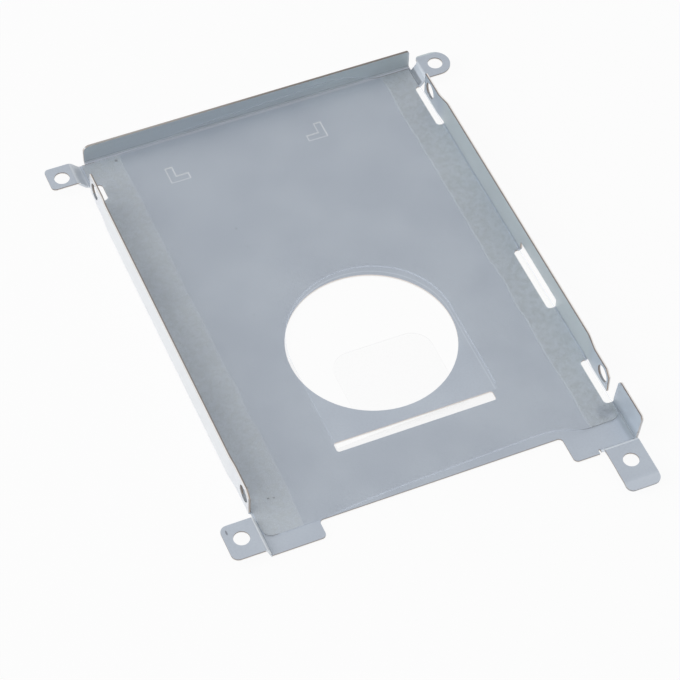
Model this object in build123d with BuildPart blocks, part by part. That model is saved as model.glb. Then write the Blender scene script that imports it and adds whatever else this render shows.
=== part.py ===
import os

from build123d import *

# Laptop drive caddy: one folded sheet-steel tray and the clear insulating film bonded inside it.
# Millimetres. X runs across the tray, Y towards its back flange, Z up.
# The origin lies midway between the four drive screws, on the upper face of the floor.

# Sheet
sheet = 0.45
bend_inside = 0.3

# Drive that the tray holds, and the room around it
drive_width = 69.85
drive_side_play = 0.125
drive_hole_height = 3.0
drive_end = 9.6
drive_end_play = 1.1
screw_pitch = 76.6
screw_hole = 3.4

# Side walls: plain wall set back from the screw ears, and lower ears joined to it by a joggle
wall_height = 6.3
wall_set_back = 0.3
ear_drop = 0.6
ear_inboard = 3.7
joggle_length = 3.4
joggle_radius = 3.0
ear_tail_back = 2.5
ear_tail_front = 2.2
ear_chamfer = 1.3

# Floor in front of the front screws, and its two front lugs
floor_nose = 8.25
left_lug_width = 10.6
left_lug_length = 3.75
right_lug_width = 12.05
right_lug_length = 5.85
lug_corner = 0.9
lug_fillet = 0.8

# Back flange, its ends placed from the folds of the side walls
back_height = 4.1
back_left_gap = 1.15
back_right_lap = 0.25
back_left_corner = 1.3
back_right_corner = 0.5

# Upright wing in line with the right wall, in front of it and leaning outwards
wing_height = 5.7
wing_length = 9.2
wing_overlap = 3.95
wing_spread = 0.7
wing_corner = 0.9

# Mounting tabs, each a step up from the floor
tab_rise = 1.8
tab_hole = 3.0

# Back left tab: hole placed from the fold and the back flange
back_left_hole_out = 4.68
back_left_hole_in = 3.8
back_left_tab_reach = 2.7
back_left_tab_back = 3.1
back_left_tab_front = 2.35
back_left_tab_corner = 0.9
back_left_foot_out = 0.4
back_left_step = 1.7
back_left_bend = 1.0

# Back right tab: a round end on a narrower neck
back_right_hole_out = 4.75
back_right_hole_in = 2.8
back_right_tab_radius = 3.05
back_right_tab_inner = 3.15
back_right_tab_corner = 0.8
back_right_neck_back = 1.5
back_right_neck_fillet = 0.6
back_right_foot_out = 0.25
back_right_step = 1.35
back_right_bend = 0.45

# Front left tab
front_left_hole_out = 3.9
front_left_hole_in = 0.5
front_left_tab_reach = 3.05
front_left_tab_back = 3.5
front_left_tab_front = 4.05
front_left_tab_corner = 1.4
front_left_foot_in = 0.1
front_left_step = 0.7
front_left_bend = 0.25

# Front right tab, stepping up forwards, its end turned slightly down
front_right_hole_in = 3.29
front_right_hole_reach = 4.9
front_right_foot_reach = 5.35
front_right_tab_half = 3.4
front_right_tab_reach = 6.0
front_right_tab_corner = 1.4
front_right_step = 1.1
front_right_bend = 0.5
front_right_lip = 2.1
front_right_lip_drop = 0.45
front_right_lip_bend = 3.0
tab_notch = 0.4

# Round window and the slot in front of it
window_centre = (0.15, -13.1)
window_radius = 16.12
slot_bridge = 2.83
slot_length = 31.6
slot_width = 2.12
slot_corner = 0.5

# Cut-outs along the folds: depth into the floor, and their ends before and behind the screw hole
back_left_cut_depth = 2.35
back_left_cut_front = 0.1
back_left_cut_back = 4.2
back_right_cut_depth = 1.1
back_right_cut_front = 6.4
back_right_cut_back = 4.8
front_right_cut_depth = 1.3
front_right_cut_back = 6.3
front_right_cut_front = 4.4
middle_cut_depth = 1.25
middle_cut_back = 3.2
middle_cut_length = 15.4
middle_cut_height = 2.0
middle_cut_corner = 1.0
cut_height = 0.6
cut_corner = 0.9

# Coined corner marks on the floor
mark_size = 3.9
mark_arm = 1.4
mark_depth = 0.08
left_mark = (-20.0, 37.5)
right_mark = (12.85, 37.7)

# Insulating film, bonded along both sides and bowed up in the middle
film = 0.19
bond_layer = 0.05
film_left_gap = 0.3
film_right_lap = 0.05
film_front_lap = 0.05
film_back_gap = 0.8
film_corner = 1.9
left_bond_width = 7.85
right_bond_width = 6.3
bow_left_x = -14.0
bow_left_rise = 1.27
bow_middle_rise = 2.27
bow_top_x = 14.5
bow_top_rise = 3.0
bow_right_x = 22.5
bow_right_rise = 2.4
flap_gap = 0.22

# Pull tongue of the film: down through the slot and back beneath the floor
tongue_left = 9.1
tongue_right = 10.6
tongue_length = 19.7
tongue_corner = 4.1
tongue_under = 0.05
tongue_bend = 0.6

# Derived positions of the walls and the floor
ear_inner = drive_width / 2 + drive_side_play
wall_inner = ear_inner + wall_set_back
wall_outer = wall_inner + sheet
fold_line = wall_inner - bend_inside
bend_mid = bend_inside + sheet / 2
bend_outside = bend_inside + sheet
screw_y = screw_pitch / 2
screw_z = drive_hole_height + film + bond_layer
ear_end_back = screw_y + ear_tail_back
ear_end_front = screw_y + ear_tail_front
ear_start = screw_y - ear_inboard
wall_end = ear_start - joggle_length
floor_back = screw_y + drive_end + drive_end_play
floor_front = screw_y + floor_nose
left_lug_front = floor_front + left_lug_length
right_lug_front = floor_front + right_lug_length
left_lug_inner = fold_line - left_lug_width
right_lug_inner = fold_line - right_lug_width
back_left = fold_line - back_left_gap
back_right = fold_line + back_right_lap
wing_back = floor_front - wing_overlap

# Derived positions of the tab holes, the slot and the film
front_right_foot = floor_front + front_right_foot_reach
back_left_hole = (-fold_line - back_left_hole_out, floor_back - back_left_hole_in)
back_right_hole = (fold_line + back_right_hole_out, floor_back - back_right_hole_in)
front_left_hole = (-fold_line - front_left_hole_out, front_left_hole_in - floor_front)
front_right_hole = (fold_line - front_right_hole_in, -front_right_foot - front_right_hole_reach)
slot_y = window_centre[1] - window_radius - slot_bridge - slot_width / 2
flap_radius = window_radius - flap_gap
film_left = fold_line - film_left_gap
film_right = fold_line + film_right_lap
film_front = floor_front + film_front_lap
film_back = floor_back - film_back_gap
film_low = bond_layer + film / 2


def wall_plan():
    """Middle line of the left wall seen from above, stepping in to the screw ears."""
    ear = -ear_inner - sheet / 2
    plain = -wall_inner - sheet / 2
    return FilletPolyline(
        (ear, -ear_end_front),
        (ear, -ear_start),
        (plain, -wall_end),
        (plain, wall_end),
        (ear, ear_start),
        (ear, ear_end_back),
        radius=joggle_radius,
    )


def wall_outline():
    """Side view of one wall: plain height, lower ears and the bevelled front corner."""
    ear_top = wall_height - ear_drop
    return Polyline(
        (-ear_end_front, -sheet),
        (-ear_end_front, ear_top - ear_chamfer),
        (-ear_end_front + ear_chamfer, ear_top),
        (-ear_start, ear_top),
        (-wall_end, wall_height),
        (wall_end, wall_height),
        (ear_start, ear_top),
        (ear_end_back, ear_top),
        (ear_end_back, -sheet),
        close=True,
    )


def make_wall():
    """The left wall, upright on the floor."""
    with BuildPart() as wall:
        with BuildSketch(Plane.XY.offset(-sheet)):
            with BuildLine():
                wall_plan()
            trace(line_width=sheet)
        extrude(amount=wall_height + sheet)
        with BuildSketch(Plane.YZ):
            with BuildLine():
                wall_outline()
            make_face()
        extrude(amount=2 * wall_outer, both=True, mode=Mode.INTERSECT)
    return wall.part


def make_strip(foot, run, bend, reach, back, front):
    """A strip of sheet that leaves the floor sideways, steps up and runs out to its end."""
    side = 1 if reach > foot else -1
    low = -sheet / 2
    with BuildPart() as strip:
        with BuildSketch(Plane.XZ.offset(-back)):
            with BuildLine():
                FilletPolyline(
                    (foot - side * 2, low),
                    (foot, low),
                    (foot + side * run, low + tab_rise),
                    (reach, low + tab_rise),
                    radius=bend + sheet / 2,
                )
            trace(line_width=sheet)
        extrude(amount=back - front)
    return strip.part


def tab_screw_hole(hole):
    """The round screw hole of one tab."""
    with Locations((hole[0], hole[1], tab_rise)):
        Hole(radius=tab_hole / 2, depth=2 * sheet)


# Back left tab
with BuildPart() as tab_back_left:
    hole_x, hole_y = back_left_hole
    foot = -fold_line - back_left_foot_out
    tab_edge = hole_x - back_left_tab_reach
    tab_back = hole_y + back_left_tab_back
    tab_front = hole_y - back_left_tab_front
    add(make_strip(foot, back_left_step, back_left_bend, tab_edge, tab_back, tab_front))
    fillet(tab_back_left.edges().filter_by(Axis.Z).group_by(Axis.X)[0], radius=back_left_tab_corner)
    tab_screw_hole(back_left_hole)

# Front left tab
with BuildPart() as tab_front_left:
    hole_x, hole_y = front_left_hole
    foot = front_left_foot_in - fold_line
    tab_edge = hole_x - front_left_tab_reach
    tab_back = hole_y + front_left_tab_back
    tab_front = hole_y - front_left_tab_front
    add(make_strip(foot, front_left_step, front_left_bend, tab_edge, tab_back, tab_front))
    fillet(tab_front_left.edges().filter_by(Axis.Z).group_by(Axis.X)[0], radius=front_left_tab_corner)
    tab_screw_hole(front_left_hole)

# Back right tab, folded over its whole width and trimmed to the neck and the round end
with BuildPart() as tab_back_right:
    hole_x, hole_y = back_right_hole
    radius = back_right_tab_radius
    foot = fold_line + back_right_foot_out
    plate_back = hole_y + radius
    plate_front = hole_y - radius
    add(make_strip(foot, back_right_step, back_right_bend, hole_x + radius, plate_back, plate_front))
    with BuildSketch(Plane.XY.offset(-sheet)) as tab_plan:
        with Locations(back_right_hole):
            Circle(radius)
            Rectangle(back_right_tab_inner, 2 * radius, align=(Align.MAX, Align.CENTER))
        with Locations((hole_x, plate_front)):
            neck_length = hole_x - fold_line + 2
            Rectangle(neck_length, radius + back_right_neck_back, align=(Align.MAX, Align.MIN))
        plate_left = hole_x - back_right_tab_inner
        outer_corner = tab_plan.vertices().filter_by(lambda v: abs(v.X - plate_left) < 0.01).sort_by(Axis.Y)
        fillet(outer_corner[-1], radius=back_right_tab_corner)
        inner_corner = tab_plan.vertices().filter_by(lambda v: abs(v.X - plate_left) < 0.01)
        neck_back = hole_y + back_right_neck_back
        fillet(inner_corner.filter_by(lambda v: abs(v.Y - neck_back) < 0.01), radius=back_right_neck_fillet)
    extrude(amount=tab_rise + sheet, mode=Mode.INTERSECT)
    tab_screw_hole(back_right_hole)

# Front right tab
with BuildPart() as tab_front_right:
    hole_x, hole_y = front_right_hole
    tab_end = hole_y - front_right_tab_reach
    plate_z = tab_rise - sheet / 2
    step_bend = front_right_bend + sheet / 2
    with BuildSketch(Plane.YZ.offset(hole_x - front_right_tab_half)):
        with BuildLine():
            FilletPolyline(
                (-front_right_foot + 1, -sheet / 2),
                (-front_right_foot, -sheet / 2),
                (-front_right_foot - front_right_step, plate_z),
                (tab_end + front_right_lip, plate_z),
                (tab_end, plate_z - front_right_lip_drop),
                radius=[step_bend, step_bend, front_right_lip_bend],
            )
        trace(line_width=sheet)
    extrude(amount=2 * front_right_tab_half)
    tip = tab_front_right.faces().sort_by(Axis.Y)[0]
    fillet(tip.edges().filter_by(Plane.YZ), radius=front_right_tab_corner)
    tab_screw_hole(front_right_hole)

# Back flange, folded up from the floor
with BuildPart() as back_flange:
    with BuildSketch(Plane.YZ.offset(-back_left)):
        with BuildLine():
            FilletPolyline(
                (floor_back - 2, -sheet / 2),
                (floor_back + sheet / 2, -sheet / 2),
                (floor_back + sheet / 2, back_height),
                radius=bend_mid,
            )
        trace(line_width=sheet)
    extrude(amount=back_left + back_right)
    top_corners = back_flange.edges().filter_by(Axis.Y).group_by(Axis.Z)[-1].sort_by(Axis.X)
    fillet(top_corners[0], radius=back_left_corner)
    top_corners = back_flange.edges().filter_by(Axis.Y).group_by(Axis.Z)[-1].sort_by(Axis.X)
    fillet(top_corners[-1], radius=back_right_corner)

# Wing beside the front right lug
with BuildPart() as wing:
    wing_root = wall_inner + sheet / 2
    with BuildSketch(Plane.XZ.offset(wing_back)):
        with BuildLine():
            FilletPolyline(
                (wing_root - 2, -sheet / 2),
                (wing_root, -sheet / 2),
                (wing_root + wing_spread, wing_height),
                radius=bend_mid,
            )
        trace(line_width=sheet)
    extrude(amount=wing_length)
    wing_top = wing.faces().sort_by(Axis.Z)[-1]
    fillet(wing_top.edges().filter_by(Axis.Y, reverse=True), radius=wing_corner)


def corner_mark(corner, side):
    """An L-shaped mark with its corner given and its arms running back and towards one side."""
    x, y = corner
    return Polyline(
        (x, y + mark_size),
        (x, y),
        (x + side * mark_size, y),
        (x + side * mark_size, y + mark_arm),
        (x + side * mark_arm, y + mark_arm),
        (x + side * mark_arm, y + mark_size),
        close=True,
    )


def cut_out(side, depth, front, back):
    """A rectangular cut-out seen from above, running into the floor from one fold and out past it."""
    inner = fold_line - depth
    with Locations((side * (inner + wall_outer), (front + back) / 2)):
        return Rectangle(2 * wall_outer, back - front)


# The two side walls and the floor between them, folded with the bend radius inside and out
with BuildPart() as channel:
    with BuildSketch(Plane.XY.offset(-sheet)):
        with Locations((0, (ear_end_back - ear_end_front) / 2)):
            Rectangle(wall_inner, ear_end_back + ear_end_front, align=(Align.MAX, Align.CENTER))
    extrude(amount=sheet)
    add(make_wall())
    outer_fold = channel.edges().filter_by(
        lambda e: abs(e.center().Z + sheet) < 0.001 and e.center().X < 0.01 - ear_inner - sheet
    )
    fillet(outer_fold, radius=bend_outside)
    inner_fold = channel.edges().filter_by(
        lambda e: abs(e.center().Z) < 0.001 and e.center().X < 0.01 - ear_inner
    )
    fillet(inner_fold.filter_by(lambda e: abs(e.center().Y) < ear_end_front - 1), radius=bend_inside)
    mirror(about=Plane.YZ)

with BuildPart() as drive_tray:
    # Flat floor with its two front lugs
    notch_left = front_right_hole[0] - front_right_tab_half - tab_notch
    notch_front = tab_notch - front_right_foot
    tab_back_edge = back_left_hole[1] + back_left_tab_back
    neck_back_edge = back_right_hole[1] + back_right_neck_back
    with BuildSketch(Plane.XY.offset(-sheet)) as floor_plan:
        with BuildLine():
            Polyline(
                (-fold_line, tab_back_edge),
                (-fold_line, -left_lug_front),
                (-left_lug_inner, -left_lug_front),
                (-left_lug_inner, -floor_front),
                (right_lug_inner, -floor_front),
                (right_lug_inner, -right_lug_front),
                (notch_left, -right_lug_front),
                (notch_left, notch_front),
                (fold_line, notch_front),
                (fold_line, neck_back_edge),
                (back_right, neck_back_edge),
                (back_right, floor_back - bend_inside),
                (-back_left, floor_back - bend_inside),
                (-back_left, tab_back_edge),
                close=True,
            )
        make_face()
        inner_points = floor_plan.vertices().filter_by(lambda v: abs(v.Y + floor_front) < 0.01)
        fillet(inner_points, radius=lug_fillet)
        outer_points = floor_plan.vertices().filter_by(
            lambda v: abs(v.X + left_lug_inner) < 0.01 or abs(v.X - right_lug_inner) < 0.01
        )
        fillet(outer_points.filter_by(lambda v: v.Y < -left_lug_front + 0.01), radius=lug_corner)
    extrude(amount=sheet)

    # Everything that is folded up from it
    add(channel.part)
    add(back_flange.part)
    add(wing.part)
    add(tab_back_left.part)
    add(tab_front_left.part)
    add(tab_back_right.part)
    add(tab_front_right.part)

    # Drive screw holes through the ears
    with BuildSketch(Plane.YZ):
        with Locations((-screw_y, screw_z), (screw_y, screw_z)):
            Circle(screw_hole / 2)
    extrude(amount=2 * wall_outer, both=True, mode=Mode.SUBTRACT)

    # Low cut-outs along the folds
    with BuildSketch(Plane.XY.offset(-2 * sheet)) as low_cuts:
        cut_out(-1, back_left_cut_depth, screw_y - back_left_cut_front, screw_y + back_left_cut_back)
        cut_out(1, back_right_cut_depth, screw_y - back_right_cut_front, screw_y + back_right_cut_back)
        cut_out(1, middle_cut_depth, -middle_cut_back - middle_cut_length, -middle_cut_back)
        cut_out(1, front_right_cut_depth, -screw_y - front_right_cut_front, front_right_cut_back - screw_y)
        fillet(low_cuts.vertices().filter_by(lambda v: abs(v.X) < fold_line), radius=cut_corner)
    extrude(amount=2 * sheet + cut_height, mode=Mode.SUBTRACT)

    # The middle cut-out runs further up the wall, its front corner rounded
    with BuildSketch(Plane.YZ.offset(fold_line)) as wall_cut:
        with Locations((-middle_cut_back, -2 * sheet)):
            Rectangle(middle_cut_length, 2 * sheet + middle_cut_height, align=(Align.MAX, Align.MIN))
        fillet(wall_cut.vertices().group_by(Axis.Z)[-1].sort_by(Axis.Y)[0], radius=middle_cut_corner)
    extrude(amount=wall_outer, mode=Mode.SUBTRACT)

    # Round window and slot in the floor
    with BuildSketch(Plane.XY.offset(-2 * sheet)) as floor_openings:
        with Locations(window_centre):
            Circle(window_radius)
        with Locations((window_centre[0], slot_y)):
            RectangleRounded(slot_length, slot_width, slot_corner)
    extrude(amount=3 * sheet, mode=Mode.SUBTRACT)

    # Coined corner marks
    with BuildSketch(Plane.XY.offset(-mark_depth)):
        with BuildLine():
            corner_mark(left_mark, 1)
        make_face()
        with BuildLine():
            corner_mark(right_mark, -1)
        make_face()
    extrude(amount=2 * mark_depth, mode=Mode.SUBTRACT)


def film_curve():
    """Middle line across the film: flat on its two bonded bands, bowed up between them."""
    left_bond = left_bond_width - film_left
    right_bond = film_right - right_bond_width
    Line((-film_left, film_low), (left_bond, film_low))
    Spline(
        (left_bond, film_low),
        (bow_left_x, film_low + bow_left_rise),
        (0, film_low + bow_middle_rise),
        (bow_top_x, film_low + bow_top_rise),
        (bow_right_x, film_low + bow_right_rise),
        (right_bond, film_low),
        tangents=[(1, 0), (1, 0)],
    )
    Line((right_bond, film_low), (film_right, film_low))


# Everything beneath the film's middle line, used to end the tongue where it leaves the film
with BuildPart() as below_film:
    with BuildSketch(Plane.XZ.offset(-slot_y + slot_width)):
        with BuildLine():
            film_curve()
            Polyline((film_right, film_low), (film_right, -2), (-film_left, -2), (-film_left, film_low))
        make_face()
    extrude(amount=-slot_width - tongue_length)

# Pull tongue: leaves the film in front of the window, drops through the slot and lies beneath the floor
with BuildPart() as tongue:
    under_z = -sheet - tongue_under - film / 2
    with BuildSketch(Plane.YZ.offset(-tongue_left)):
        with BuildLine():
            FilletPolyline(
                (slot_y, 2 * bow_top_rise),
                (slot_y, under_z),
                (slot_y + tongue_length, under_z),
                radius=tongue_bend,
            )
        trace(line_width=film)
    extrude(amount=tongue_left + tongue_right)
    fillet(tongue.edges().filter_by(Axis.Z).group_by(Axis.Y)[-1], radius=tongue_corner)
    add(below_film.part, mode=Mode.INTERSECT)

# Film: the bowed cross-section all along the tray, cut away over the window as far as the tongue
with BuildPart() as insulating_film:
    with BuildSketch(Plane.XZ.offset(film_front)):
        with BuildLine():
            film_curve()
        trace(line_width=film)
    extrude(amount=-film_back - film_front)
    with BuildSketch(Plane.XY.offset(-film)) as film_plan:
        with BuildLine():
            Polyline(
                (-film_left, -film_front),
                (film_right, -film_front),
                (film_right, film_back),
                (-film_left, film_back),
                close=True,
            )
        make_face()
        fillet(film_plan.vertices().group_by(Axis.Y)[0], radius=film_corner)
        with Locations(window_centre):
            Circle(flap_radius, mode=Mode.SUBTRACT)
        with Locations((window_centre[0], slot_y)):
            flap_length = window_centre[1] - slot_y
            Rectangle(2 * flap_radius, flap_length, align=(Align.CENTER, Align.MIN), mode=Mode.SUBTRACT)
    extrude(amount=3 * bow_top_rise, mode=Mode.INTERSECT)
    add(tongue.part)

os.makedirs("parts", exist_ok=True)
drive_tray.part.label = "drive_tray"
export_step(drive_tray.part, "parts/drive_tray.step")
insulating_film.part.label = "insulating_film"
export_step(insulating_film.part, "parts/insulating_film.step")
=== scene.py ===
import math

import bpy
from mathutils import Matrix, Vector


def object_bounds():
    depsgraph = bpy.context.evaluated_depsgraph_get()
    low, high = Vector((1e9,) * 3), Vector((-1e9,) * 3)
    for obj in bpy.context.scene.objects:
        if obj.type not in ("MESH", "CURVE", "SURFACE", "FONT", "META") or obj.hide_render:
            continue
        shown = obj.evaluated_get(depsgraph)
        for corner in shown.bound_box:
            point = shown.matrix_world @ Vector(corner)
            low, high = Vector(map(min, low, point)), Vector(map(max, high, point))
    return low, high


# Laptop drive caddy: looks for the folded sheet tray and the clear film bonded inside it.
# Sizes in the shaders are millimetres in the tray's own frame.

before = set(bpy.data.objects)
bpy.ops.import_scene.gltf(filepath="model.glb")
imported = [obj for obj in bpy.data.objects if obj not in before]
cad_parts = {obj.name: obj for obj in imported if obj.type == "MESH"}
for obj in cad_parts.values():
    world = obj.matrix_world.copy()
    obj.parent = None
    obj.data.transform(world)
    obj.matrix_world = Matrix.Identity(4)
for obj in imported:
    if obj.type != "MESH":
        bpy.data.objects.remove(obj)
size_before = [list(corner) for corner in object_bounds()]
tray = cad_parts["drive_tray"]
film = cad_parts["insulating_film"]

# Places on the tray that its finish follows: folds and walls from the middle, a painted highlight
# cast by the film's cut edge round the film's opening, STEPS where the tabs begin to rise, LIP where
# the front right tab turns down, MARKS the inner corners of the two L-shaped marks and the way each points
SHEET = 0.45
FOLD = EAR_INNER = 35.05
WALL_INNER = 35.35
WALL_END, EAR_START = 31.2, 34.6
WING_BACK = -42.6
SCREW_Y, SCREW_Z = 38.3, 3.24
FILM_EDGE_LIGHT_X, FILM_EDGE_LIGHT_Y, FILM_EDGE_LIGHT_R, FILM_EDGE_LIGHT_SIDE = 0.8, -12.25, 15.9, 16.7
TAB_TOP = 1.8
FLANGE_Y = 49.0
SLOT_X, SLOT_Y = (-15.65, 15.95), (-34.17, -32.05)
MARKS = (((-20.0, 37.5), 1), ((12.85, 37.7), -1))
MARK_SIZE, MARK_ARM = 3.9, 1.4
STEPS_BACK, STEPS_FRONT_LEFT, STEPS_FRONT_RIGHT = 41.5, -41.5, -51.8
LIP = (-57.4, -58.2)

# Dark specks, each with its place, half width and half length
SPECKS = (
    (-41.0, -44.0, 0.2, 0.6),
    (-28.0, 47.1, 0.35, 0.35),
    (-31.0, -38.8, 0.3, 0.2),
    (-30.0, -39.0, 0.25, 0.2),
    (-12.8, 22.0, 0.16, 0.2),
    (-12.5, 17.0, 0.18, 0.13),
    (-17.6, 1.0, 0.13, 0.18),
)

# Fold cut-outs: where each starts across the floor, and its front and back ends
LEFT_CUTS = ((-32.7, (38.2, 42.5)),)
RIGHT_CUTS = ((33.95, (31.9, 43.1)), (33.8, (-18.6, -3.2)), (33.75, (-42.7, -32.0)))

# Places on the film
WINDOW_X, WINDOW_Y, FLAP_R = 0.15, -13.1, 15.9
CREASE_Y = -21.4
FILM_FRONT = -46.6
BAND_LEFT, BAND_RIGHT = -27.2, 28.9
POCKET_X, POCKET_Y = 32.9, -44.2


def level(*rgb):
    """A colour given as 8-bit display levels, in linear light."""
    out = []
    for value in rgb:
        v = value / 255.0
        out.append(v / 12.92 if v <= 0.04045 else ((v + 0.055) / 1.055) ** 2.4)
    return (*out, 1.0)


class Val:
    """A socket that takes part in shader arithmetic."""

    def __init__(self, tree, socket):
        self.tree = tree
        self.socket = socket

    def _op(self, operation, *values):
        node = self.tree.node("ShaderNodeMath", {"operation": operation})
        for slot, value in zip(node.inputs, values):
            self.tree.feed(slot, value)
        return Val(self.tree, node.outputs[0])

    def __add__(self, other):
        return self._op("ADD", self, other)

    def __sub__(self, other):
        return self._op("SUBTRACT", self, other)

    def __rsub__(self, other):
        return self._op("SUBTRACT", other, self)

    def __mul__(self, other):
        return self._op("MULTIPLY", self, other)

    def __gt__(self, other):
        return self._op("GREATER_THAN", self, other)

    __radd__ = __add__
    __rmul__ = __mul__

    def abs(self):
        return self._op("ABSOLUTE", self)

    def sqrt(self):
        return self._op("SQRT", self)

    def min(self, other):
        return self._op("MINIMUM", self, other)

    def max(self, other):
        return self._op("MAXIMUM", self, other)

    def ramp(self, low, high):
        """0 at low and 1 at high, smooth between; low may be above high."""
        rising = low < high
        node = self.tree.node(
            "ShaderNodeMapRange",
            {"interpolation_type": "SMOOTHSTEP"},
            Value=self,
            From_Min=low if rising else high,
            From_Max=high if rising else low,
            To_Min=0.0 if rising else 1.0,
            To_Max=1.0 if rising else 0.0,
        )
        return Val(self.tree, node.outputs["Result"])

    def between(self, low, high, soft=0.02):
        """1 from low to high with a soft edge, 0 outside."""
        return self.ramp(low - soft, low + soft) * self.ramp(high + soft, high - soft)


class Tree:
    """The nodes of a material or of the world, built one at a time."""

    def __init__(self, owner):
        self.owner = owner
        owner.use_nodes = True
        self.nodes = owner.node_tree.nodes
        self.links = owner.node_tree.links
        self.nodes.clear()

    def node(self, kind, settings=None, **sockets):
        made = self.nodes.new(kind)
        for key, value in (settings or {}).items():
            setattr(made, key, value)
        for key, value in sockets.items():
            self.feed(made.inputs[key.replace("_", " ")], value)
        return made

    def feed(self, slot, value):
        if isinstance(value, Val):
            value = value.socket
        if isinstance(value, bpy.types.NodeSocket):
            self.links.new(value, slot)
        else:
            slot.default_value = value

    def split(self, vector):
        node = self.node("ShaderNodeSeparateXYZ", Vector=vector)
        return [Val(self, s) for s in node.outputs]

    def place(self):
        """X, Y and Z in millimetres in the tray's frame, and the same as one vector."""
        coords = self.node("ShaderNodeTexCoord").outputs["Object"]
        node = self.node("ShaderNodeVectorMath", {"operation": "SCALE"}, Vector=coords, Scale=1000.0)
        return self.split(node.outputs["Vector"]), node.outputs["Vector"]

    def facing(self):
        """The surface's own direction, as three numbers."""
        return self.split(self.node("ShaderNodeNewGeometry").outputs["Normal"])

    def noise(self, vector, scale, detail=2.0, roughness=0.5, stretch=None):
        """Noise from 0 to 1 over a vector in millimetres."""
        if stretch is not None:
            moved = self.node("ShaderNodeMapping", Vector=vector, Scale=stretch)
            vector = moved.outputs["Vector"]
        made = self.node(
            "ShaderNodeTexNoise",
            {"noise_dimensions": "3D"},
            Vector=vector,
            Scale=scale,
            Detail=detail,
            Roughness=roughness,
        )
        return Val(self, made.outputs["Fac"])

    def mix(self, amount, low, high):
        """The colour low where amount is 0 and high where it is 1."""
        made = self.node("ShaderNodeMix", {"data_type": "RGBA"})
        for slot, value in zip((0, 6, 7), (amount, low, high)):
            self.feed(made.inputs[slot], value)
        return made.outputs[2]

    def bump(self, height, distance, strength=1.0):
        made = self.node("ShaderNodeBump", Height=height, Distance=distance, Strength=strength)
        return made.outputs["Normal"]

    def blend(self, amount, low, high):
        """One shader where amount is 0 and the other where it is 1."""
        made = self.node("ShaderNodeMixShader")
        for slot, value in zip(made.inputs, (amount, low, high)):
            self.feed(slot, value)
        return made.outputs[0]

    def finish(self, shader, output="ShaderNodeOutputMaterial"):
        self.node(output, Surface=shader)
        return self.owner


def material(name):
    return Tree(bpy.data.materials.new(name))


def distance(across, along):
    """How far a place is from a centre, from its two offsets."""
    return (across * across + along * along).sqrt()


def mark_outline_highlight(x, y, corner, side):
    """A thin painted highlight round one L-shaped coined mark, in place of light on its walls."""
    u = (x - corner[0]) * side
    v = y - corner[1]
    long_x = (u - MARK_SIZE / 2).abs() - MARK_SIZE / 2
    short_y = (v - MARK_ARM / 2).abs() - MARK_ARM / 2
    short_x = (u - MARK_ARM / 2).abs() - MARK_ARM / 2
    long_y = (v - MARK_SIZE / 2).abs() - MARK_SIZE / 2
    away = long_x.max(short_y).min(short_x.max(long_y))
    return away.abs().ramp(0.2, 0.08)


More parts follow.
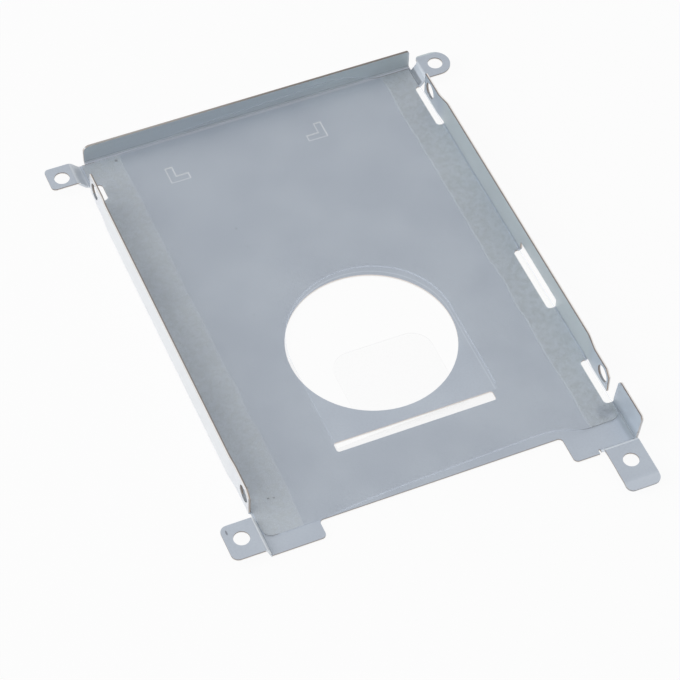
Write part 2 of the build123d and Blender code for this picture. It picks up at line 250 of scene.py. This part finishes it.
def zinc_sheet():
    """Satin zinc-coated steel, with pale sheared edges that keep a thin brown burr line."""
    t = material("zinc_sheet")
    (x, y, z), where = t.place()
    nx, ny, nz = t.facing()
    side = x.abs()
    along = y.abs()

    # Satin zinc: broad clouds, a fine grain and faint rolling lines
    cloud = t.noise(where, 0.07, 2.0)
    grain = t.noise(where, 2.6, 3.0, 0.6)
    lines = t.noise(where, 1.0, 2.0, 0.5, stretch=(0.06, 3.0, 1.0))
    zinc = t.mix(cloud.ramp(0.3, 0.7), level(183, 191, 202), level(190, 198, 208))
    zinc = t.mix(grain.ramp(0.4, 0.75) * 0.25, zinc, level(168, 176, 188))

    # Where the tabs step up, and the rest of the tray's two sides
    behind_walls = y.ramp(STEPS_BACK - 0.1, STEPS_BACK + 0.1)
    by_back_tabs = side.ramp(FOLD - 0.2, FOLD) * behind_walls
    by_left_tab = x.ramp(0.2 - FOLD, -FOLD) * y.ramp(STEPS_FRONT_LEFT + 0.1, STEPS_FRONT_LEFT - 0.1)
    by_right_tab = y.ramp(STEPS_FRONT_RIGHT + 0.1, STEPS_FRONT_RIGHT - 0.1) * x.ramp(28.0, 28.2)
    by_tabs = by_back_tabs.max(by_left_tab).max(by_right_tab)
    by_walls = side.ramp(FOLD - 0.3, FOLD - 0.2) * (1.0 - behind_walls) * (1.0 - by_tabs)
    on_lip = y.ramp(*LIP)

    # Sheared edges: rims of the floor and tabs, tops and ends of the walls, rims of the screw holes
    upright = nz.abs().ramp(0.45, 0.25)
    low_rim = upright * z.between(-SHEET - 0.03, 0.01) * side.ramp(FOLD - 0.1, FOLD - 0.2)
    on_tabs = side.ramp(35.9, 36.1).max(by_right_tab)
    tab_rim = upright * z.between(TAB_TOP - SHEET - 0.02, TAB_TOP + 0.02) * on_tabs
    across = nx.abs().ramp(0.55, 0.4)
    end = ny.abs().ramp(0.5, 0.6)
    wall_rim = across * by_walls * z.ramp(0.15, 0.3) * z.ramp(1.85, 1.95).max(end)
    crest = nz.ramp(0.7, 0.85) * z.ramp(3.3, 3.6)
    at_flange = y.ramp(FLANGE_Y - 0.15, FLANGE_Y - 0.05)
    flange_end = at_flange * nx.abs().ramp(0.7, 0.85)
    hole_shade = distance(along - SCREW_Y, z - SCREW_Z).ramp(1.9, 1.8) * across * by_walls
    cut = low_rim.max(tab_rim).max(wall_rim).max(crest).max(flange_end)

    # The burr line along the upper or inner border of those edges
    mark_highlights = mark_outline_highlight(x, y, *MARKS[0]).max(mark_outline_highlight(x, y, *MARKS[1])) * z.between(-0.2, 0.05)
    low_line = low_rim * z.ramp(-0.3, -0.2) * (1.0 - mark_highlights)
    lip_rim = upright * by_right_tab * on_lip
    tab_line = (tab_rim * z.ramp(TAB_TOP - 0.3, TAB_TOP - 0.2)).max(lip_rim * 0.7)
    ear = along.ramp(WALL_END, EAR_START)
    on_wing = y.ramp(WING_BACK + 1.0, WING_BACK)
    inner_face = WALL_INNER - ear * (WALL_INNER - EAR_INNER) + on_wing * (0.3 + 0.123 * z)
    wall_line = wall_rim * (side - inner_face).ramp(0.28, 0.16)

    # Bends: painted shade in the inner folds, painted highlights on the tabs' risers and on the outside of
    # the walls
    sloping = nz.abs().ramp(0.995, 0.95)
    fold_shade = sloping * z.between(0.0, 0.34) * by_walls.max(at_flange.max(y.ramp(48.5, 48.7)))
    fold_shade = fold_shade * (0.6 + 0.4 * nz.ramp(0.6, 0.9))
    riser = sloping * by_tabs * (1.0 - cut)
    outer_wall_highlight = nx.abs().ramp(0.3, 0.5) * (x * nx > 0.0) * side.between(35.3, 36.8, 0.1) * by_walls
    at_front, at_left = y.ramp(0.0, -1.0), x.ramp(0.0, -1.0)
    riser_highlight = riser * (0.35 + 0.4 * at_front + 0.2 * at_left - 0.45 * on_lip)
    riser_foot_shadow = x.between(34.9, 35.75, 0.08) * y.between(43.3, 48.9, 0.2) * z.ramp(0.9, 0.5)
    bare_strip = y.between(48.15, 48.75, 0.1) * z.between(-0.02, 0.1)
    wing_foot_shade = on_wing * x.between(34.3, 36.5, 0.4) * z.ramp(2.2, 0.3) * (1.0 - by_right_tab)
    right_wall_light = nx.ramp(-0.8, -0.95) * by_walls * (1.0 - ear)

    zinc = t.mix(ear * by_walls * 0.3, zinc, level(206, 216, 221))
    # Painted light on the back flange, stronger towards the right
    zinc = t.mix(at_flange * (0.4 + 0.25 * x.ramp(-5.0, 30.0)), zinc, level(208, 219, 220))
    # Painted light on the inner face of the right wall
    zinc = t.mix(right_wall_light * 0.4, zinc, level(214, 222, 214))
    # Painted shade at the foot of the front right wing
    zinc = t.mix(wing_foot_shade * 0.6, zinc, level(158, 167, 175))
    # Painted shade in the inner folds, deeper in the fold of the wing
    zinc = t.mix(fold_shade * 0.8, zinc, level(142, 150, 159))
    zinc = t.mix(fold_shade * on_wing * 0.6, zinc, level(118, 127, 137))
    # Painted highlight on the tabs' risers, stronger towards the front and left, weaker on the lip
    zinc = t.mix(riser_highlight, zinc, level(232, 237, 242))
    # Painted highlight on the outer faces of the walls
    zinc = t.mix(outer_wall_highlight * 0.7, zinc, level(234, 235, 238))
    # Painted shadow along the foot of the back right riser
    zinc = t.mix(riser_foot_shadow * 0.6, zinc, level(84, 90, 98))
    zinc = t.mix(bare_strip * 0.6, zinc, level(214, 214, 222))

    # A painted highlight cast by the film's cut edge, a thin bright line on the metal round the film's
    # opening, and small dark specks
    edge_light_arc = distance(x - FILM_EDGE_LIGHT_X, y - FILM_EDGE_LIGHT_Y).between(FILM_EDGE_LIGHT_R - 0.1, FILM_EDGE_LIGHT_R + 0.1, 0.06)
    edge_light_arc = edge_light_arc * y.ramp(-12.4, -12.0)
    edge_light_side = x.between(FILM_EDGE_LIGHT_SIDE - 0.08, FILM_EDGE_LIGHT_SIDE + 0.08, 0.06) * y.between(-32.0, FILM_EDGE_LIGHT_Y)
    film_edge_light = edge_light_arc.max(edge_light_side) * z.between(-0.02, 0.1)
    zinc = t.mix(film_edge_light * 0.3, zinc, level(226, 234, 244))
    for spot_x, spot_y, wide, long in SPECKS:
        u = (x - spot_x) * (1.0 / wide)
        v = (y - spot_y) * (1.0 / long)
        zinc = t.mix((u * u + v * v).ramp(1.0, 0.5) * 0.6, zinc, level(84, 86, 96))

    # Edges, burr lines, painted shade in the screw holes and painted highlights round the coined marks over
    # the zinc
    colour = t.mix(cut, zinc, level(243, 240, 237))
    inner_cut = side.ramp(17.5, 17.0) * y.between(-35.0, 4.0)
    line = low_line.max(tab_line) * (0.85 - 0.45 * inner_cut)
    colour = t.mix(line, colour, t.mix(inner_cut, level(116, 107, 106), level(176, 158, 154)))
    colour = t.mix(wall_line * 0.9, colour, t.mix(end, level(98, 84, 76), level(166, 147, 132)))
    flange_crest = crest * at_flange * (0.75 + 0.25 * x.ramp(-25.0, 15.0))
    colour = t.mix(flange_crest, colour, level(126, 118, 112))
    colour = t.mix(flange_end, colour, level(186, 178, 172))
    # Painted shade in the rims of the screw holes
    colour = t.mix(hole_shade * 0.55, colour, level(66, 60, 58))
    # Painted highlight round the coined marks
    colour = t.mix(mark_highlights * (0.25 + 0.4 * grain), colour, level(246, 248, 250))
    satin = crest.max(wall_rim).max(outer_wall_highlight * 0.4).max(riser_highlight * 0.6)
    sheared = low_rim.max(tab_rim) * (1.0 - line)

    rough = 0.42 + 0.06 * cloud + 0.05 * lines - 0.15 * sheared
    shader = t.node(
        "ShaderNodeBsdfPrincipled",
        Base_Color=colour,
        Metallic=0.55 - 0.4 * satin + 0.35 * sheared - 0.3 * fold_shade * on_wing,
        Roughness=rough,
        Normal=t.bump(grain, 0.00001, 0.2),
    )
    return t.finish(shader.outputs["BSDF"])


def clear_film():
    """Clear polyester film: hardly seen over openings, a light veil over metal, mottled on its adhesive."""
    t = material("clear_film")
    (x, y, z), where = t.place()
    nx, ny, nz = t.facing()

    # Adhesive bands along both sides, with wandering inner borders
    wander = (t.noise(where, 0.12, 2.0) - 0.5) * 1.4
    inward = x + wander
    bonded_left = inward.ramp(BAND_LEFT + 0.3, BAND_LEFT - 0.3)
    bonded_right = inward.ramp(BAND_RIGHT - 0.2, BAND_RIGHT + 0.2)
    bonded = bonded_left.max(bonded_right)
    mottle = t.noise(where, 0.8, 4.0, 0.65).ramp(0.4, 0.62)
    fine = t.noise(where, 3.5, 3.0, 0.6).ramp(0.45, 0.7)

    # Where there is no metal close beneath: the slot, the fold cut-outs and the tongue
    in_slot = x.between(*SLOT_X) * y.between(*SLOT_Y)
    open_below = in_slot
    for start, (front, back) in LEFT_CUTS:
        open_below = open_below.max(x.ramp(start + 0.05, start - 0.05) * y.between(front, back, 0.1))
    for start, (front, back) in RIGHT_CUTS:
        open_below = open_below.max(x.ramp(start - 0.05, start + 0.05) * y.between(front, back, 0.1))
    open_below = open_below.max(z.ramp(-0.1, -0.2))

    # The veil over the metal, thicker where it is bonded, with a dark pocket in the front right corner
    pocket = distance(x - POCKET_X, y - POCKET_Y).ramp(2.1, 0.9)
    veil = 0.035 + bonded * (0.01 + 0.05 * mottle + 0.04 * fine + 0.025 * pocket)
    left_border = inward.between(BAND_LEFT - 0.2, BAND_LEFT + 0.2, 0.15)
    right_border = inward.between(BAND_RIGHT - 0.2, BAND_RIGHT + 0.2, 0.15)
    border = left_border.max(right_border)
    veil = veil + 0.03 * border
    alpha = veil * (1.0 - open_below) + 0.008 * open_below * (1.0 - in_slot)
    # Adhesive colour, with painted light making the left band lighter where the left wall shades it
    adhesive_with_painted_light = t.mix(x.ramp(0.0, -1.0), level(178, 182, 170), level(218, 221, 212))
    colour = t.mix(bonded, level(118, 122, 128), adhesive_with_painted_light)
    colour = t.mix(bonded * pocket, colour, level(92, 100, 98))
    colour = t.mix(border * 0.9, colour, level(232, 236, 238))

    # Painted glints: the film's cut edges and thin bands along its front edge and round its opening are
    # painted bright, stronger on the right side of the opening
    rim = nz.abs().ramp(0.6, 0.4) * z.ramp(-0.1, 0.0) * (1.0 - in_slot)
    corners = x.ramp(-31.5, -32.5).max(x.ramp(26.0, 28.0))
    over_window = x - WINDOW_X
    reach = distance(over_window, y - WINDOW_Y)
    arc_glint = reach.ramp(FLAP_R + 0.24, FLAP_R + 0.12) * y.ramp(WINDOW_Y - 0.5, WINDOW_Y)
    side_glint = over_window.abs().ramp(FLAP_R + 0.2, FLAP_R + 0.1) * y.between(-33.0, WINDOW_Y)
    side_glint = side_glint * (0.35 + 0.65 * (over_window > 0.0))
    front_glint = y.ramp(FILM_FRONT + 0.24, FILM_FRONT + 0.14) * x.between(-22.0, 24.0, 4.0)
    edge_glint = arc_glint.max(side_glint).max(front_glint) * z.ramp(0.0, 0.1)
    alpha = alpha.max(edge_glint * 0.11).max(rim * (0.3 + 0.25 * corners))
    colour = t.mix(rim.max(edge_glint), colour, level(222, 234, 252))
    # Painted shadow on the front and back cut edges near the film's left and right ends
    colour = t.mix(rim * corners * (ny.abs() > 0.5), colour, level(90, 88, 90))

    # The tongue under the window shows only its outline and a faint crease
    under = z.ramp(-0.3, -0.4)
    crease = y.between(CREASE_Y - 0.1, CREASE_Y + 0.1, 0.08) * mottle * 0.02
    outline = under * (nz.abs().ramp(0.6, 0.4) * 0.08).max(crease) * (1.0 - in_slot)
    alpha = alpha.max(outline)

    shader = t.node(
        "ShaderNodeBsdfPrincipled",
        Base_Color=colour,
        Roughness=0.22,
        Alpha=alpha,
    )
    return t.finish(shader.outputs["BSDF"])


for node, finish in ((tray, zinc_sheet()), (film, clear_film())):
    node.data.materials.clear()
    node.data.materials.append(finish)


def seen_paths(t):
    """What the camera sees, directly, mirrored or through film, and what is mirrored alone."""
    path = t.node("ShaderNodeLightPath").outputs
    kinds = ("Camera", "Glossy", "Transmission")
    direct, glossy, through = (Val(t, path[f"Is {kind} Ray"]) for kind in kinds)
    return direct.max(glossy).max(through), glossy


def white_table():
    """White table top that shows white, with the faint shadow of what stands on it."""
    t = material("table_white")
    lit = t.node("ShaderNodeBsdfPrincipled", Base_Color=level(250, 250, 251), Roughness=0.6)
    white = t.node("ShaderNodeEmission", Color=level(253, 253, 253), Strength=1.0)
    sight, _ = seen_paths(t)
    return t.finish(t.blend(sight * 0.95, lit.outputs["BSDF"], white.outputs[0]))


# Table that the tray lies on
floor_z = size_before[0][2] - 0.00002
bpy.ops.mesh.primitive_plane_add(size=6.0, location=(0, 0, floor_z))
table = bpy.context.object
table.name = "table_top"
table.data.materials.append(white_table())


def studio_room():
    """The room: white to the camera, softly graded in metal, and an even soft light otherwise."""
    world = bpy.data.worlds.new("studio")
    bpy.context.scene.world = world
    t = Tree(world)
    up = t.split(t.node("ShaderNodeTexCoord").outputs["Generated"])[2]
    sight, glossy = seen_paths(t)
    strength = 0.5 + 0.5 * sight - 0.2 * glossy * up.ramp(0.1, 0.6)
    room = t.node("ShaderNodeBackground", Color=(1.0, 1.0, 1.0, 1.0), Strength=strength)
    t.finish(room.outputs[0], "ShaderNodeOutputWorld")


def softbox(name, place, size, radiance):
    """A square area light aimed at the tray."""
    data = bpy.data.lights.new(name, "AREA")
    data.shape = "SQUARE"
    data.size = size
    data.energy = radiance * math.pi * size * size
    lamp = bpy.data.objects.new(name, data)
    bpy.context.scene.collection.objects.link(lamp)
    lamp.location = place
    lamp.rotation_euler = (-Vector(place)).to_track_quat("-Z", "Y").to_euler()


studio_room()
softbox("top_box", (0.1, -0.15, 1.5), 1.1, 0.55)
softbox("left_box", (-1.25, 0.1, 0.9), 1.2, 3.0)

# Camera at the photograph's angle
CAMERA_VIEW = 13.96457
CAMERA_PLACE = (-0.137423, -0.302608, 0.402576)
CAMERA_RIGHT = (0.919674, -0.392285, 0.017682)
CAMERA_UP = (0.296842, 0.723983, 0.622683)
camera_data = bpy.data.cameras.new("camera")
camera_data.angle = math.radians(CAMERA_VIEW)
camera_data.clip_start = 0.01
camera = bpy.data.objects.new("camera", camera_data)
bpy.context.scene.collection.objects.link(camera)
right = Vector(CAMERA_RIGHT)
up = Vector(CAMERA_UP)
turn = Matrix((right, up, right.cross(up))).transposed().to_4x4()
camera.matrix_world = Matrix.Translation(Vector(CAMERA_PLACE)) @ turn
bpy.context.scene.camera = camera
bpy.context.scene.view_settings.view_transform = "Standard"
